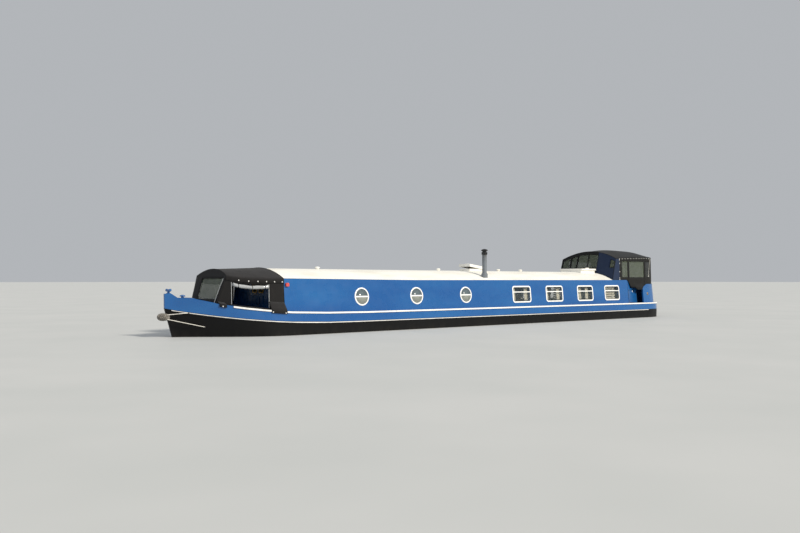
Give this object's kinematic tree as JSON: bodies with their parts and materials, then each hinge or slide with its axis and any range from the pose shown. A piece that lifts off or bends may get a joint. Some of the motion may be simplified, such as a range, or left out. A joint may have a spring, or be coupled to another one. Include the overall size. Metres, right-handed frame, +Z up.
{
  "type": "wide-beam narrowboat",
  "caption": "Wide-beam steel narrowboat with an arched cabin roof, portholes and windows, a canvas bow cover and a canvas stern hood, floating on its flat-bottomed hull.",
  "frame": {"origin": "bottom centre of the whole boat, on the underside of the flat base plate", "axes": "+X forward to the bow, +Y to port, +Z up; the waterline is at z = 0.70 m"},
  "size_m": [21.4499, 3.0732, 3.412],
  "materials": {
    "hull_black": "satin black bitumen coating",
    "blue_paint": "gloss royal blue coach enamel",
    "white_paint": "gloss white enamel",
    "cream_paint": "matt cream roof paint",
    "window_white": "white powder coat",
    "charcoal_canvas": "woven acrylic canvas",
    "navy_canvas": "woven acrylic canvas",
    "rope": "weathered fibre rope",
    "flue_grey": "matt heat-proof paint",
    "tube_steel": "polished stainless steel",
    "deck_grey": "non-slip deck paint",
    "wood": "varnished hardwood",
    "bronze": "cast bronze",
    "engine_green": "engine enamel",
    "red_lens": "ribbed lens",
    "green_lens": "ribbed lens"
  },
  "bodies": {
    "boat": {"hull": "hull_black", "top_band": "blue_paint", "gunwale_rail_port": "white_paint", "gunwale_rail_starboard": "white_paint", "rubbing_strake_port": "white_paint", "rubbing_strake_starboard": "white_paint", "foredeck": "blue_paint", "bow_t_stud": "blue_paint", "foredeck_vent": "blue_paint", "bow_fender": "rope", "cabin_side_port": "blue_paint", "cabin_side_starboard": "blue_paint", "roof": "cream_paint", "chimney": "flue_grey", "chimney_cap": "hull_black", "front_bulkhead": "blue_paint", "aft_bulkhead": "blue_paint", "nav_light_port": "red_lens", "nav_light_starboard": "green_lens", "cratch_board": "wood", "cratch_cover": "charcoal_canvas", "stern_deck": "deck_grey", "stern_bulwark": "blue_paint", "stern_hood": "navy_canvas", "hood_frame": "tube_steel", "engine": "engine_green", "stern_tube": "tube_steel", "skeg": "hull_black", "stern_dolly_port": "blue_paint", "stern_dolly_starboard": "blue_paint", "window_port_1": "window_white", "window_port_2": "window_white", "window_port_3": "window_white", "window_port_4": "window_white", "porthole_port_1": "window_white", "porthole_port_2": "window_white", "porthole_port_3": "window_white", "window_starboard_1": "window_white", "window_starboard_2": "window_white", "window_starboard_3": "window_white", "window_starboard_4": "window_white", "porthole_starboard_1": "window_white", "porthole_starboard_2": "window_white", "porthole_starboard_3": "window_white"},
    "screw": {"propeller": "bronze"},
    "steering": {"rudder": "hull_black", "tiller": "tube_steel"},
    "port_gate": {"gate_port": "blue_paint"},
    "starboard_gate": {"gate_starboard": "blue_paint"},
    "front_port_door": {"front_door_port": "blue_paint"},
    "front_starboard_door": {"front_door_starboard": "blue_paint"},
    "aft_port_door": {"aft_door_port": "blue_paint"},
    "aft_starboard_door": {"aft_door_starboard": "blue_paint"},
    "companion_lid": {"companion_hatch": "cream_paint"},
    "mid_hatch_lid": {"roof_hatch_mid": "cream_paint"},
    "aft_hatch_lid": {"roof_hatch_aft": "cream_paint"},
    "locker_lid": {"fore_locker_lid": "blue_paint"}
  },
  "joints": [
    {"name": "propeller_spin", "type": "hinge", "parent": "boat", "child": "screw", "pos_m": [-9.995, 0, 0.33], "axis": [1, 0, 0], "continuous": true},
    {"name": "rudder_turn", "type": "hinge", "parent": "boat", "child": "steering", "pos_m": [-10.25, 0, 0.3], "axis": [0, 0, 1], "range_deg": [-35, 35]},
    {"name": "port_gate_hinge", "type": "hinge", "parent": "boat", "child": "port_gate", "pos_m": [-8.25, 1.34058, 1.305], "axis": [0, -0.094, 0.9956], "range_deg": [-15, 55]},
    {"name": "starboard_gate_hinge", "type": "hinge", "parent": "boat", "child": "starboard_gate", "pos_m": [-8.25, -1.34058, 1.305], "axis": [0, 0.094, 0.9956], "range_deg": [-70, 0]},
    {"name": "front_port_door_hinge", "type": "hinge", "parent": "boat", "child": "front_port_door", "pos_m": [7.74, 0.345, 1.7], "axis": [0, 0, 1], "range_deg": [0, 120]},
    {"name": "front_starboard_door_hinge", "type": "hinge", "parent": "boat", "child": "front_starboard_door", "pos_m": [7.74, -0.345, 1.7], "axis": [0, 0, 1], "range_deg": [-120, 0]},
    {"name": "aft_port_door_hinge", "type": "hinge", "parent": "boat", "child": "aft_port_door", "pos_m": [-8.2, 0.345, 1.8], "axis": [0, 0, 1], "range_deg": [-120, 0]},
    {"name": "aft_starboard_door_hinge", "type": "hinge", "parent": "boat", "child": "aft_starboard_door", "pos_m": [-8.2, -0.345, 1.8], "axis": [0, 0, 1], "range_deg": [0, 120]},
    {"name": "companion_lid_hinge", "type": "hinge", "parent": "boat", "child": "companion_lid", "pos_m": [-7.56, 0, 2.54087], "axis": [0, 1, 0], "range_deg": [0, 75]},
    {"name": "mid_hatch_hinge", "type": "hinge", "parent": "boat", "child": "mid_hatch_lid", "pos_m": [-1.29, 0, 2.57717], "axis": [0, -1, 0], "range_deg": [-7.5, 60]},
    {"name": "aft_hatch_hinge", "type": "hinge", "parent": "boat", "child": "aft_hatch_lid", "pos_m": [-6.38, 0, 2.56193], "axis": [0, 1, 0], "range_deg": [0, 60]},
    {"name": "locker_lid_hinge", "type": "hinge", "parent": "boat", "child": "locker_lid", "pos_m": [9.56, 0, 1.61853], "axis": [0, -1, 0], "range_deg": [0, 80]}
  ]
}
